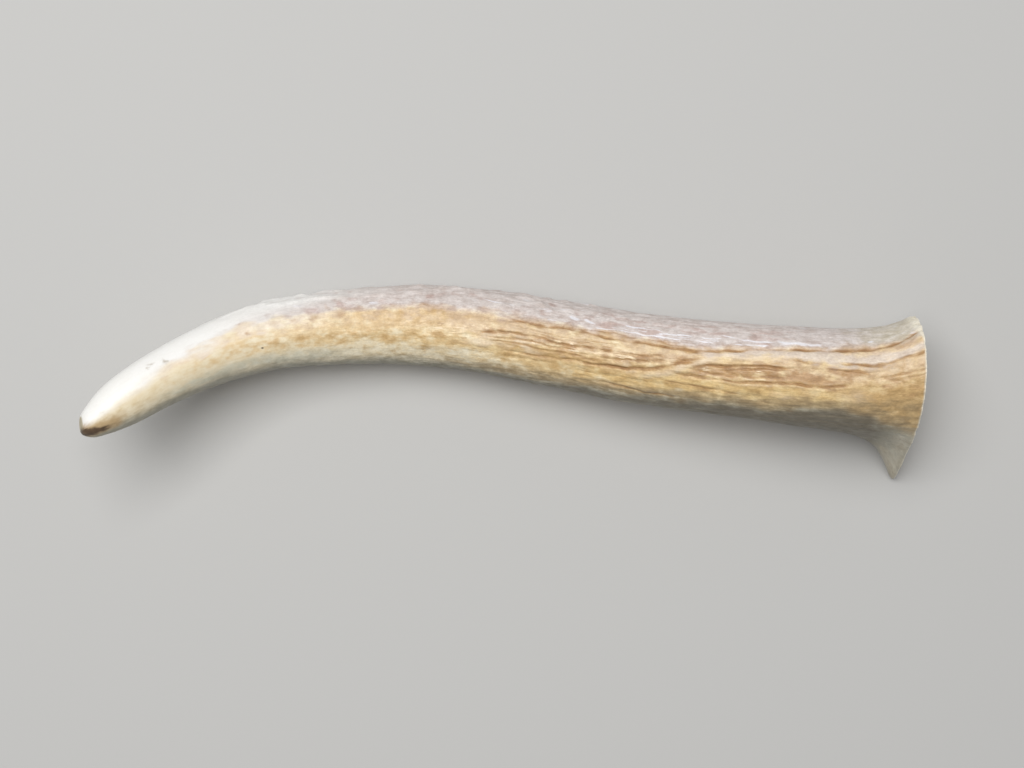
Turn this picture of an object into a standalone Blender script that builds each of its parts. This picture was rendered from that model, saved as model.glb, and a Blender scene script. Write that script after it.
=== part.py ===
"""One deer antler tine, sawn off the main beam at its flared base and lying at rest.

It grew as one piece of bone, so it is one object. Its tip points along -X and is worn smooth. Its
base is a flat saw cut that faces +X, where a sharp spur reaches down to the ground. The shaft, the
spur and the far side of the base are the three spots it rests on. Lengths are in millimetres until
the mesh is made, which is in metres, with +Z up and the ground at z = 0.
"""

import bpy
import numpy as np

MM = 0.001

# Centre line from tip to saw cut: x, y, z and the radius of the round shaft there. The radius
# falls off as a quarter ellipse over the last stretch, which rounds the tip.
TIP_CAP = 3.0
CENTRE_LINE = [
    (-108.9, -12.8, 35.4, 2.4),
    (-102.9, -7.9, 32.4, 5.5),
    (-93.6, -1.2, 28.0, 7.15),
    (-81.5, 5.8, 22.2, 8.0),
    (-64.0, 12.5, 16.0, 9.2),
    (-46.0, 15.1, 12.3, 10.0),
    (-26.0, 16.0, 10.7, 10.8),
    (-6.0, 14.4, 11.9, 11.35),
    (22.7, 9.4, 14.1, 11.95),
    (45.0, 5.8, 17.2, 12.3),
    (66.0, 3.4, 20.8, 12.6),
    (86.0, 1.5, 22.6, 13.25),
    (109.6, 0.2, 23.0, 13.4),
]

# Outline of the saw cut about the end of the centre line: the bearing on the round shaft, in
# degrees from +Y towards +Z, that runs out to each corner, then the corner's y and z offsets.
CUT_OUTLINE = [
    (5, 17.8, 2.4),
    (30, 16.0, 9.2),
    (57, 10.8, 15.2),
    (82, 3.2, 16.8),
    (106, -3.2, 15.3),
    (132, -9.4, 10.2),
    (163, -15.4, 2.0),
    (191, -21.5, -9.5),
    (213, -27.0, -22.3),
    (232, -18.6, -22.0),
    (254, -6.5, -22.2),
    (281, 6.0, -22.9),
    (309, 13.6, -16.8),
    (338, 16.9, -7.0),
]
# The flare dies away from the cut over FLARE_LENGTH, behind a lip that is thicker where it reaches
# further out. Over SQUARE_UP_LENGTH the cross-sections turn to lie flat in the cut.
FLARE_LENGTH = 6.3
LIP_PER_REACH = 0.1
SQUARE_UP_LENGTH = 40.0

# The worn end of the tip: a small flat rubbed across it.
WEAR_POINT = (-108.5, -12.0, 35.0)
WEAR_NORMAL = (-0.86, -0.32, 0.40)

# Furrows that run along the bark, deepest before the cut and gone near the tip. Each set is a
# number round the shaft, a share of the depth, and a slant in radians per millimetre: the two
# slant across each other, so that furrows fork and merge.
FURROW_DEPTH = 0.7
FURROW_SETS = [(13, 0.6, 0.004), (8, 0.4, -0.006)]
FURROWS_START = 45.0
FURROWS_FULL = 150.0
SMOOTH_RIM = 12.0

SIDES = 66
RINGS = 50
END_CROWDING = 0.12
TANGENT_STEP = 0.05


def smooth_through(knots, values, at):
    """Natural cubic spline: one cubic between each two knots, with slope and bend matched."""
    step = np.diff(knots)
    slope = np.diff(values, axis=0) / step[:, None]
    count = len(knots)
    system = np.eye(count)
    bend = np.zeros_like(values)
    for k in range(1, count - 1):
        system[k, k - 1 : k + 2] = step[k - 1], 2 * (step[k - 1] + step[k]), step[k]
        bend[k] = 6 * (slope[k] - slope[k - 1])
    bend = np.linalg.solve(system, bend)
    k = np.clip(np.searchsorted(knots, at) - 1, 0, count - 2)
    h = step[k][:, None]
    a = (knots[k + 1] - at)[:, None] / h
    b = 1 - a
    line = a * values[k] + b * values[k + 1]
    return line + ((a**3 - a) * bend[k] + (b**3 - b) * bend[k + 1]) * h**2 / 6


def smoothstep(low, high, x):
    """Rise from 0 at low to 1 at high with level ends."""
    t = np.clip((x - low) / (high - low), 0, 1)
    return t * t * (3 - 2 * t)


def unit(vectors):
    return vectors / np.linalg.norm(vectors, axis=-1, keepdims=True)


def centre_line(share):
    """Points, tangents, shaft radius and distance from the tip, at these shares of the length."""
    stations = np.array(CENTRE_LINE)
    gaps = np.linalg.norm(np.diff(stations[:, :3], axis=0), axis=1)
    knots = np.concatenate([[0], np.cumsum(gaps)])
    along = share * knots[-1]
    here = smooth_through(knots, stations, along)
    ahead = smooth_through(knots, stations, along + TANGENT_STEP)
    tangent = unit(ahead[:, :3] - here[:, :3])
    cap = np.clip(along / TIP_CAP, 0, 1)
    radius = here[:, 3] * np.sqrt(1 - (1 - cap) ** 2)
    return here[:, :3], tangent, radius, along


def ring_shares():
    """Ring positions as shares of the length, closer together at the tip and in the flare."""
    even = np.linspace(0, 1, RINGS)
    return even - END_CROWDING * np.sin(2 * np.pi * even)


def cut_outline(angle):
    """The saw cut's outline at these bearings, by a spline that closes on itself."""
    corners = np.array(CUT_OUTLINE, dtype=float)
    turn = np.array([360.0, 0, 0])
    around = np.concatenate([corners[-4:] - turn, corners, corners[:4] + turn])
    return smooth_through(np.radians(around[:, 0]), around[:, 1:], angle)


def furrow_height(angle, along, before_cut):
    """Height of the ridges, or depth of the furrows if negative, from slanting waves."""
    waves = sum(
        share * np.sin(count * (angle + slant * along[:, None]))
        for count, share, slant in FURROW_SETS
    )
    fade = smoothstep(FURROWS_START, FURROWS_FULL, along) * smoothstep(0, SMOOTH_RIM, before_cut)
    return 0.5 * FURROW_DEPTH * fade[:, None] * waves


def antler_rings():
    """Grid of surface points, one ring per row, from the tip to the saw cut."""
    centre, tangent, radius, along = centre_line(ring_shares())
    angle = np.arange(SIDES) * 2 * np.pi / SIDES
    before_cut = along[-1] - along

    # Each ring stands square to the centre line, and swings flat to the saw cut at the base.
    square = smoothstep(SQUARE_UP_LENGTH, 0, before_cut)[:, None]
    facing = unit(tangent * (1 - square) + np.array([1.0, 0, 0]) * square)
    up = unit(np.array([0, 0, 1.0]) - facing * facing[:, 2:])
    side = np.cross(up, facing)

    # The round shaft with its furrows, plus the flare that runs out to the cut's outline.
    bearing = np.stack([np.cos(angle), np.sin(angle)], axis=1)
    spread = cut_outline(angle) - radius[-1] * bearing
    lip = LIP_PER_REACH * np.linalg.norm(spread, axis=1)
    flare = np.exp((lip - np.hypot(before_cut[:, None], lip)) / FLARE_LENGTH)
    round_radius = radius[:, None] + furrow_height(angle, along, before_cut)
    section = round_radius[..., None] * bearing + flare[..., None] * spread
    return centre[:, None] + section[..., :1] * side[:, None] + section[..., 1:] * up[:, None]


def rub_flat(points, on_plane, outward):
    """Push whatever stands proud of this plane back onto it."""
    normal = unit(np.array(outward))
    proud = np.clip((points - np.array(on_plane)) @ normal, 0, None)
    return points - proud[..., None] * normal


def closed_mesh(name, rings):
    """Mesh of quads between the rings, with a fan at the tip and one across the saw cut."""
    rows, columns = rings.shape[:2]
    tip = rings[0].mean(axis=0)
    cut_centre = np.array(CENTRE_LINE[-1][:3])
    points = np.concatenate([rings[1:].reshape(-1, 3), [tip, cut_centre]]) * MM
    tip_index = (rows - 1) * columns
    last_ring = (rows - 2) * columns
    edges = [(k, (k + 1) % columns) for k in range(columns)]
    faces = [(tip_index, b, a) for a, b in edges]
    for start in range(0, last_ring, columns):
        faces += [(start + a, start + b, start + b + columns, start + a + columns) for a, b in edges]
    faces += [(tip_index + 1, last_ring + a, last_ring + b) for a, b in edges]
    mesh = bpy.data.meshes.new(name)
    mesh.from_pydata(points.tolist(), [], faces)
    mesh.polygons.foreach_set("use_smooth", [k < len(faces) - columns for k in range(len(faces))])
    return mesh


def bone_material():
    material = bpy.data.materials.new("antler_bone")
    material.use_nodes = True
    shader = material.node_tree.nodes["Principled BSDF"]
    shader.inputs["Base Color"].default_value = (0.56, 0.43, 0.29, 1)
    shader.inputs["Roughness"].default_value = 0.5
    shader.inputs["Metallic"].default_value = 0.0
    return material


def clear_scene():
    for old in list(bpy.data.objects):
        bpy.data.objects.remove(old)


def main():
    clear_scene()
    rings = rub_flat(antler_rings(), WEAR_POINT, WEAR_NORMAL)
    rings = rub_flat(rings, (0, 0, 0), (0, 0, -1))
    mesh = closed_mesh("antler", rings)
    mesh.materials.append(bone_material())
    antler = bpy.data.objects.new("antler", mesh)
    bpy.context.scene.collection.objects.link(antler)


main()
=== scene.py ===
# %% [markdown]
# # A deer antler tine, sawn off at its base
#
# The real thing is one piece of bone about 22 cm long. It grew round and tapering, and it bends
# like a lazy S. The tip is worn white and smooth, the middle is beaded, and towards the base the
# surface is cut by dark furrows where blood vessels once ran. The base spreads into a flare that a
# saw cut straight across, which leaves a sharp spur at one side.
#
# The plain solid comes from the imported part, and this lesson gives it its skin. The skin follows
# the same centre line as the solid, so that it fills the same box, and every bead, furrow and
# scratch is worked out as a height above that surface. The same numbers then tell the material
# where the bone is stained, so shape and colour always agree.

import bpy
import numpy as np
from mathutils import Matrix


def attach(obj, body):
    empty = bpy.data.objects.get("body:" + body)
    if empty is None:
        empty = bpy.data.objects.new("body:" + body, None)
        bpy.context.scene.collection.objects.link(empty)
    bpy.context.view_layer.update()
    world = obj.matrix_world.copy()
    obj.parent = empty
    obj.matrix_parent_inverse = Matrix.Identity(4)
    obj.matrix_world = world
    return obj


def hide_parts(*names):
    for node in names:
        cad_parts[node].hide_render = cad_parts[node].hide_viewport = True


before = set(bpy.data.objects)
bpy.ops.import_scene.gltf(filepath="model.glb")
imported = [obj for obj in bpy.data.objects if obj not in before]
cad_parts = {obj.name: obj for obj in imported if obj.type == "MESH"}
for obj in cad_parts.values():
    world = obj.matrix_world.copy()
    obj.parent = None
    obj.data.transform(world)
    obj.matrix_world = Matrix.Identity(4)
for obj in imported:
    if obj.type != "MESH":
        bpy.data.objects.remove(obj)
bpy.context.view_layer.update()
MM = 0.001

# %% [markdown]
# ## The camera
#
# The antler lies on a table and is looked at from straight above, from less than half a metre
# away. A camera that is so near makes the raised tip and the flare a little larger than the
# middle, which rests on the table. A longer lens from further off would lose that, so the camera
# stands at the true distance and its lens is chosen to take in the width of the table it sees.

# %% Camera
CAMERA_HEIGHT = 476 * MM
CAMERA_OVER = (3.1 * MM, -0.15 * MM)
TABLE_WIDTH_SEEN = 286.7 * MM
SENSOR_WIDTH = 36.0

lens = SENSOR_WIDTH * CAMERA_HEIGHT / TABLE_WIDTH_SEEN
camera_data = bpy.data.cameras.new("camera")
camera_data.sensor_width = SENSOR_WIDTH
camera_data.lens = lens
camera_data.clip_start = 0.01
camera = bpy.data.objects.new("camera", camera_data)
camera.location = (*CAMERA_OVER, CAMERA_HEIGHT)
bpy.context.scene.collection.objects.link(camera)
bpy.context.scene.camera = camera
bpy.context.scene.view_settings.view_transform = "Standard"
print("lens", round(lens, 2), "mm")

# %% [markdown]
# ## The table
#
# A plain pale table sets off the bone and throws some light back on its sides. It is a single
# large square, a hair below the ground plane so that the two never flicker where the antler rests
# on it. It is several metres wide, because a low camera sees a long way along it.

# %% Table
TABLE_SIZE = 16.0
TABLE_DROP = 0.00005
TABLE_GREY = (0.55, 0.55, 0.545, 1)


def new_material(name):
    material = bpy.data.materials.new(name)
    material.use_nodes = True
    return material


def shader_of(material):
    return material.node_tree.nodes["Principled BSDF"]


half = TABLE_SIZE / 2
table_mesh = bpy.data.meshes.new("table")
table_mesh.from_pydata(
    [(-half, -half, -TABLE_DROP), (half, -half, -TABLE_DROP),
     (half, half, -TABLE_DROP), (-half, half, -TABLE_DROP)],
    [], [(0, 1, 2, 3)],
)
table_paint = new_material("table_paint")
shader_of(table_paint).inputs["Base Color"].default_value = TABLE_GREY
shader_of(table_paint).inputs["Roughness"].default_value = 0.9
table_mesh.materials.append(table_paint)
table = bpy.data.objects.new("table", table_mesh)
bpy.context.scene.collection.objects.link(table)
print("table", TABLE_SIZE, "m wide")

# %% [markdown]
# ## The light
#
# One broad soft lamp stands high on the far left, as a window would, and an even sky fills the
# shadows. The lamp could be small for crisp furrows, but polished bone shows a small lamp as a
# hard white dot, and a broad one as the gentle sheen that it has in daylight. The sky is mixed
# from two: a dim one that lights the bone, and a bright one that only a camera sees directly.

# %% Lamp and sky
LAMP_REACH = 1.1
LAMP_LIFT = np.radians(72)
LAMP_SIDE = np.radians(122)
LAMP_SIZE = 0.75
LAMP_WATTS = 11.8
SKY_LIGHT = 0.22
SKY_SEEN = 0.80
WINDOW_WHITE = (1, 0.985, 0.96)
SKY_WHITE = (0.97, 0.985, 1.0, 1)

window_light = bpy.data.lights.new("window", "AREA")
window_light.shape, window_light.size = "SQUARE", LAMP_SIZE
window_light.energy, window_light.color = LAMP_WATTS, WINDOW_WHITE
window = bpy.data.objects.new("window", window_light)
across, up = np.cos(LAMP_LIFT), np.sin(LAMP_LIFT)
away = np.array([np.cos(LAMP_SIDE) * across, np.sin(LAMP_SIDE) * across, up])
window.location = away * LAMP_REACH
window.rotation_euler = (np.pi / 2 - LAMP_LIFT, 0, LAMP_SIDE + np.pi / 2)
bpy.context.scene.collection.objects.link(window)

world = bpy.data.worlds.new("sky")
world.use_nodes = True
bpy.context.scene.world = world
sky = world.node_tree
sky.nodes.clear()
sky_out = sky.nodes.new("ShaderNodeOutputWorld")
sky_mix = sky.nodes.new("ShaderNodeMixShader")
sky_ray = sky.nodes.new("ShaderNodeLightPath")
for socket, strength in ((1, SKY_LIGHT), (2, SKY_SEEN)):
    glow = sky.nodes.new("ShaderNodeBackground")
    glow.inputs["Color"].default_value = SKY_WHITE
    glow.inputs["Strength"].default_value = strength
    sky.links.new(glow.outputs[0], sky_mix.inputs[socket])
sky.links.new(sky_ray.outputs["Is Camera Ray"], sky_mix.inputs[0])
sky.links.new(sky_mix.outputs[0], sky_out.inputs[0])
print("lamp at", [round(c, 2) for c in window.location])

# %% [markdown]
# ## The centre line
#
# An antler grows along a path, so its shape is a round section carried along a curve. A bent
# cylinder or a tapered curve object would give that too, but would not say where each point of the
# skin lies along and round the antler, which the furrows need. So the path is a spline through a
# few stations, each with its own radius, and the last few millimetres close into a round tip.

# %% Centre line
TIP_CAP = 3.0
CENTRE_LINE = [  # x, y, z and the shaft's radius, in millimetres
    (-108.9, -12.8, 35.4, 2.4), (-102.9, -7.9, 32.4, 5.5), (-93.6, -1.2, 28.0, 7.15),
    (-81.5, 5.8, 22.2, 8.0), (-64.0, 12.5, 16.0, 9.2), (-46.0, 15.1, 12.3, 10.0),
    (-26.0, 16.0, 10.7, 10.8), (-6.0, 14.4, 11.9, 11.35), (22.7, 9.4, 14.1, 11.95),
    (45.0, 5.8, 17.2, 12.3), (66.0, 3.4, 20.8, 12.6), (86.0, 1.5, 22.6, 13.25),
    (109.6, 0.2, 23.0, 13.4),
]
TANGENT_STEP = 0.05


def smooth_through(knots, values, at):
    """Natural cubic spline: one cubic between each two knots, with slope and bend matched."""
    step = np.diff(knots)
    slope = np.diff(values, axis=0) / step[:, None]
    count = len(knots)
    system, bend = np.eye(count), np.zeros_like(values)
    for k in range(1, count - 1):
        system[k, k - 1 : k + 2] = step[k - 1], 2 * (step[k - 1] + step[k]), step[k]
        bend[k] = 6 * (slope[k] - slope[k - 1])
    bend = np.linalg.solve(system, bend)
    k = np.clip(np.searchsorted(knots, at) - 1, 0, count - 2)
    h = step[k][:, None]
    a = (knots[k + 1] - at)[:, None] / h
    b = 1 - a
    line = a * values[k] + b * values[k + 1]
    return line + ((a**3 - a) * bend[k] + (b**3 - b) * bend[k + 1]) * h**2 / 6


def rise(low, high, x):
    """0 up to low, 1 from high on, and in between 3t^2 - 2t^3 of the way t through the gap."""
    t = np.clip((x - low) / (high - low), 0, 1)
    return t * t * (3 - 2 * t)


def unit(vectors):
    return vectors / np.linalg.norm(vectors, axis=-1, keepdims=True)


stations = np.array(CENTRE_LINE)
gaps = np.linalg.norm(np.diff(stations[:, :3], axis=0), axis=1)
knots = np.concatenate([[0], np.cumsum(gaps)])
LENGTH = knots[-1]


def centre_line(along):
    """Points, directions and shaft radius at these distances from the tip.

    In the tip cap the radius is that of a quarter ellipse: the square root of 1 - (1 - share)^2.
    """
    here = smooth_through(knots, stations, along)
    ahead = smooth_through(knots, stations, along + TANGENT_STEP)
    share = np.clip(along / TIP_CAP, 0, 1)
    radius = here[:, 3] * np.sqrt(1 - (1 - share) ** 2)
    return here[:, :3], unit(ahead[:, :3] - here[:, :3]), radius


print("length along the centre line", round(LENGTH, 1), "mm")

# %% [markdown]
# ## The flare and the saw cut
#
# Where the tine joined the main beam its sides sweep outwards, most of all at the spur. The saw
# cut's outline is a closed spline through a few corners, and the sweep is an exponential: it
# falls to about a third every few millimetres away from the cut. The spur differs: a part of it
# starts to spread further up the shaft, as a root, and the rest sweeps out later and so thinner. A
# lip behind the cut is as thick as a tenth of the reach, because a thinner edge would break off.

# %% Flare
CUT_OUTLINE = [  # bearing in degrees from +Y towards +Z, then y and z off the centre line's end
    (5, 17.8, 2.4), (30, 16.0, 9.2), (57, 10.8, 15.2), (82, 3.2, 16.8), (106, -3.2, 15.3),
    (132, -9.4, 10.2), (163, -15.4, 2.0), (191, -21.5, -9.5), (213, -27.0, -22.3),
    (232, -18.6, -22.0), (254, -6.5, -22.2), (281, 6.0, -22.9), (309, 13.6, -16.8),
    (338, 16.9, -7.0),
]
FLARE_LENGTH = 6.3
LIP_PER_REACH = 0.1
SQUARE_UP_LENGTH = 40.0
SPUR_BEARING = 205.0
SPUR_WIDTH = 35.0
SPUR_ROOT_LENGTH = 16.0
SPUR_ROOT_SHARE = 0.35
SPUR_PINCH = 0.43


def bell(off, width):
    """1 in the middle and e^-(off / width)^2 to either side."""
    return np.exp(-((off / width) ** 2))


def cut_outline(turn):
    """The saw cut's outline at these bearings, by a spline that closes on itself."""
    corners = np.array(CUT_OUTLINE, dtype=float)
    lap = np.array([360.0, 0, 0])
    around = np.concatenate([corners[-4:] - lap, corners, corners[:4] + lap])
    return smooth_through(np.radians(around[:, 0]), around[:, 1:], turn)


def antler_surface(along, turn):
    """Skin points, local reach and shaft radius at each distance along and each bearing.

    A point is the centre line plus radius x (cos, sin) of its bearing, plus the flare's share of
    the gap between the round shaft and the cut's outline. That share is e to the power of
    (lip - root of (distance squared + lip squared)) / flare length. Towards the spur, the root's
    share of it falls off over the root's length, and the rest over a pinched flare length.
    """
    centre, tangent, radius = centre_line(along)
    before_cut = LENGTH - along
    square = rise(-SQUARE_UP_LENGTH, 0, -before_cut)[:, None]
    facing = unit(tangent * (1 - square) + np.array([1.0, 0, 0]) * square)
    up = unit(np.array([0, 0, 1.0]) - facing * facing[:, 2:])
    side = np.cross(up, facing)
    bearing = np.stack([np.cos(turn), np.sin(turn)], axis=1)
    spread = cut_outline(np.mod(turn, 2 * np.pi)) - radius[-1] * bearing
    lip = LIP_PER_REACH * np.linalg.norm(spread, axis=1)
    off_spur = np.mod(np.degrees(turn) - SPUR_BEARING + 180, 360) - 180
    spur = bell(off_spur, SPUR_WIDTH)
    fall = lip - np.hypot(before_cut[:, None], lip)
    quick = np.exp(fall / (FLARE_LENGTH * (1 - SPUR_PINCH * spur)))
    share = quick + SPUR_ROOT_SHARE * spur * (np.exp(fall / SPUR_ROOT_LENGTH) - quick)
    section = radius[:, None, None] * bearing + share[..., None] * spread
    points = centre[:, None] + section[..., :1] * side[:, None] + section[..., 1:] * up[:, None]
    return points, np.linalg.norm(section, axis=2), radius


print("flare dies away over", FLARE_LENGTH, "mm")

# %% [markdown]
# ## The grid
#
# The skin is a grid of rings. Rings crowd together at the tip, where a round end needs them, and
# in the flare, where the surface turns outwards and each ring has further to go. The crowding
# comes from a density: its running total is shared out equally, and each share is one ring. The
# columns start underneath, so the join of the grid lies where nobody looks, and they stand closer
# on the broad face, which has the finest furrows.

# %% Grid
RINGS = 300
COLUMNS = 312
FIRST_BEARING = -90.0


def shared_out(places, density, count):
    """Where the running total of a density reaches equal shares of its whole."""
    total = np.concatenate([[0], np.cumsum((density[1:] + density[:-1]) / 2)])
    return np.interp(np.linspace(0, total[-1], count), total, places)


fine = np.linspace(0, LENGTH, 40001)
ring_density = 1 + 0.9 / np.sqrt(fine + 0.01) + 1.3 * np.exp((fine - LENGTH) / 9.0)
along = shared_out(fine, ring_density, RINGS)
fine = np.linspace(FIRST_BEARING, FIRST_BEARING + 360.0, 7201)
column_density = 1 + 0.28 * np.cos(np.radians(fine - 85))
degrees = shared_out(fine, column_density, COLUMNS + 1)[:-1]
skin, reach, radius = antler_surface(along, np.radians(degrees))
S = np.repeat(along[:, None], COLUMNS, axis=1)  # each point's distance from the tip
B = np.repeat(degrees[None], RINGS, axis=0)  # its bearing, from +Y towards +Z
TO_CUT = LENGTH - S
print("rings", RINGS, "columns", COLUMNS, "widest ring gap", round(np.diff(along).max(), 2), "mm")

# %% [markdown]
# ## Noise that closes on itself
#
# Grown bone is never regular, so nearly every layer below is steered by noise. Blender's own noise
# textures would leave a visible join where the last column meets the first. This gradient noise
# gives each point of a lattice a random slope and blends the four slopes round each place, and its
# lattice repeats exactly once round the antler, so there is no join.

# %% Noise
FIRST_ROW = 7.3
SPARE_ROWS = 40
NOISE_HEIGHT = 1.6


def grown_noise(length, cells, seed, warp=0.0, turn=0.0):
    """Noise of about -1 to 1, in cells this long that fit a whole number of times round.

    Each lattice corner's slope times the offset from it, blended with 6t^5 - 15t^4 + 10t^3. A
    warp shifts the lattice along the antler, in cells, and a turn shifts it round, in degrees.
    """
    u = S / length + warp + FIRST_ROW
    v = (B - FIRST_BEARING + turn) / 360.0 * cells
    rows = int(LENGTH / length) + SPARE_ROWS
    angle = np.random.default_rng(seed).uniform(0, 2 * np.pi, (rows, cells))
    i, j = np.floor(u).astype(int), np.floor(v).astype(int)
    u, v = u - i, v - j

    def corner(a, b):
        slope = angle[(i + a) % rows, (j + b) % cells]
        return np.cos(slope) * (u - a) + np.sin(slope) * (v - b)

    eu, ev = (t**3 * (t * (6 * t - 15) + 10) for t in (u, v))
    near = corner(0, 0) * (1 - eu) + corner(1, 0) * eu
    far = corner(0, 1) * (1 - eu) + corner(1, 1) * eu
    return NOISE_HEIGHT * (near * (1 - ev) + far * ev)


def layered(length, cells, seed, layers, warp=0.0, turn=0.0):
    """Noise plus finer noise: each layer has cells half the size and 0.6 times the height."""
    return sum(
        0.6**k * grown_noise(length / 2**k, cells * 2**k, seed + k, warp * 2**k, turn)
        for k in range(layers)
    )


def between(low, high, soft, x):
    """1 between low and high, sinking to 0 over a soft edge at each end."""
    return rise(low - soft, low + soft, x) * (1 - rise(high - soft, high + soft, x))


def off_from(bearing):
    """Degrees round the antler from this bearing, between -180 and 180."""
    return (B - bearing + 180) % 360 - 180


def side_of(low, high, soft):
    """1 on the side of the antler between two bearings, sinking to 0 over soft edges."""
    width = (high - low) / 2
    return 1 - rise(width - soft, width + soft, np.abs(off_from((low + high) / 2)))


def limited(field):
    """The field, with whatever passes 0 or 1 cut back to it."""
    return np.clip(field, 0, 1)


def strongest(*fields):
    """The largest of several fields at each place."""
    return np.maximum.reduce(fields)


wander = 3.2 * grown_noise(11, 9, 11) + 1.7 * grown_noise(4.2, 22, 12)
print("wander of the furrows", round(np.abs(wander).max(), 1), "degrees")

# %% [markdown]
# ## The sides of the shaft
#
# Seen from above, bands run along the antler: a bleached one on top, a warm one along the broad
# face, and a darker one below, whose colour is partly painted shade. Nothing on bone has a drawn
# edge, so each border is a line through a few places that noise frays, and each band fades across
# it over several degrees. The fade is widest on the polished tip, where ivory passes into cream
# with no edge at all. Each band is a share from 0 to 1, and what the other three leave over is the
# underside.

# %% Bands
WARM_FROM = [(0, 98), (8, 94), (18, 87), (25, 82), (30, 76), (35, 73), (40, 76), (44, 69),
             (49, 61), (54, 67), (60, 66), (68, 68), (76, 66), (86, 65), (96, 63), (112, 63),
             (122, 66), (140, 66), (152, 64), (166, 67), (173, 71), (181, 69), (190, 62),
             (200, 59), (210, 57), (218, 54), (226, 50), (232, 43)]
WARM_TO = [(0, 126), (6, 134), (12, 141), (30, 142), (60, 147), (90, 147), (110, 146), (130, 144),
           (150, 140), (165, 137), (180, 132), (192, 128), (202, 123), (212, 120), (219, 124),
           (226, 138), (232, 150)]


def border(places):
    """Bearing of a band's border at each ring, straight between the places."""
    spots = np.array(places, dtype=float)
    return np.interp(along, spots[:, 0], spots[:, 1])[:, None]


border_roughness = 4.5 + 6.0 * between(24, 62, 10, S) + 2.5 * between(68, 124, 10, S)
past_top = B - border(WARM_FROM) + border_roughness * layered(9, 14, 14, 3)
past_foot = B - border(WARM_TO) + 5.0 * layered(12, 10, 17, 3)
fade = 8.0 + 17.0 * (1 - rise(14, 76, S)) + 6.0 * between(68, 128, 12, S)
below_end = B - 40 * rise(196, 218, S) + 9 * layered(13, 9, 20, 2)
# The lower band: its colour is partly painted shade, laid on further down.
below = rise(-20, 26, past_foot) * (1 - rise(164, 222, below_end))
upper = (1 - rise(-1, 1, past_top / fade)) * rise(-66, -38, B + 6 * layered(14, 9, 19, 2))
upper = upper * (1 - rise(150, 200, B))
warm = rise(-1, 1, past_top / fade) * (1 - rise(-20, 26, past_foot))
under = limited(1 - warm - below - upper)


def by_band(on_warm, on_upper, on_below, on_under):
    """A weight for each band, mixed where one band fades into the next."""
    return on_warm * warm + on_upper * upper + on_below * below + on_under * under


print("shares", [round(float(band.mean()), 2) for band in (warm, below, upper, under)])

# %% [markdown]
# ## Beads and gentle swellings
#
# Between the polished tip and the furrowed base an antler is beaded: low oval pearls, a few
# millimetres long, stand on the side that faced outwards. They could be modelled one by one, but
# there are hundreds of them and they run into each other, so the upper half of a noise makes the
# pearls and its lower half makes the pinkish hollows between them.

# %% Beads
BEAD_HEIGHT, PIT_DEPTH, SWELLING = 0.55, 0.24, 0.15

swelling = SWELLING * grown_noise(19, 5, 21) * rise(6, 30, S)
bead_field = grown_noise(4.6, 18, 22, warp=0.5 * grown_noise(9, 8, 23), turn=wander)
bead_field = bead_field + 0.5 * grown_noise(2.6, 34, 24)
bead_zone = between(46, 158, 22, S) * by_band(0.34, 0.95, 0.25, 0.45)
beads = BEAD_HEIGHT * limited(bead_field + 0.05) ** 1.2 * bead_zone
pits_between = PIT_DEPTH * limited(-bead_field - 0.12) * bead_zone
relief = swelling + beads - pits_between
print("tallest bead", round(beads.max(), 2), "mm")

# %% [markdown]
# ## Creases
#
# From the middle to the base the whole surface is drawn into long rounded ridges with sharp
# creases between them. Plain noise is round both ways. The size of noise, without its sign, is
# sharp wherever the noise passes through zero and round elsewhere, and these sharp places are
# lines that fork, close up and leave long islands. Three finer copies of it make small ridges.

# %% Creases
def creased(length, cells, seed, layers, warp=0.0):
    """0 in sharp creases, about 0.3 on average and up to 1 on rounded ridges.

    It is the mean of noises without their signs. Each next one has 1.6 times shorter and twice
    as many cells, and 0.72 times the weight.
    """
    parts = [
        (0.72**k, np.abs(grown_noise(length / 1.6**k, cells * 2**k, seed + k, warp, wander)))
        for k in range(layers)
    ]
    return sum(share * part for share, part in parts) / sum(share for share, _ in parts)


RIDGE_LEVEL = 0.32
bend = 0.55 * grown_noise(12, 8, 30)
ridges = creased(15, 12, 31, 4, bend)
patchy = rise(-0.55, 0.45, layered(9, 12, 36, 2))
creasing = rise(84, 136, S) * (1 - 0.35 * rise(-7, 0, -TO_CUT))
crease_height = by_band(0.80, 0.26, 0.40, 0.90) * (0.55 + 0.6 * patchy)
creases = (ridges - RIDGE_LEVEL) * crease_height * creasing
relief = relief + creases
crease_dark = (1 - rise(0.05, 0.19, ridges)) * patchy
# Ridge tops, which are painted paler further on, partly as a painted highlight.
crest_highlight = rise(0.36, 0.56, ridges)
print("ridges up to", round(creases.max(), 2), "mm")

# %% [markdown]
# ## The furrows that make this antler this one
#
# The broad face has a handful of furrows that anyone would know it by: one long line beside the
# pale band, a deep arc that curls up and ends against a forked ridge, and a long shallow hollow.
# Noise can't be told where to put those, so each is drawn as a few places along and round the
# antler with a spline through them. Its bed is a bell curve across that path. Noise shifts it,
# swells it and thins it in places, because a vessel never wore a channel of one width.

# %% Drawn furrows
BED_SPREAD, BED_SHARE = 1.15, 0.8
BANK_SPREAD, BANK_SHARE = 3.0, 0.36
wobble = 0.30 * grown_noise(5.0, 20, 37) + 0.18 * grown_noise(2.4, 44, 38)
swell = np.clip(1 + 0.40 * grown_noise(7, 16, 39) + 0.3 * grown_noise(3, 34, 40), 0.55, 1.7)
presence = np.clip(0.86 + 0.50 * grown_noise(7, 15, 41) + 0.35 * grown_noise(3, 30, 42), 0.45, 1.1)


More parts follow.
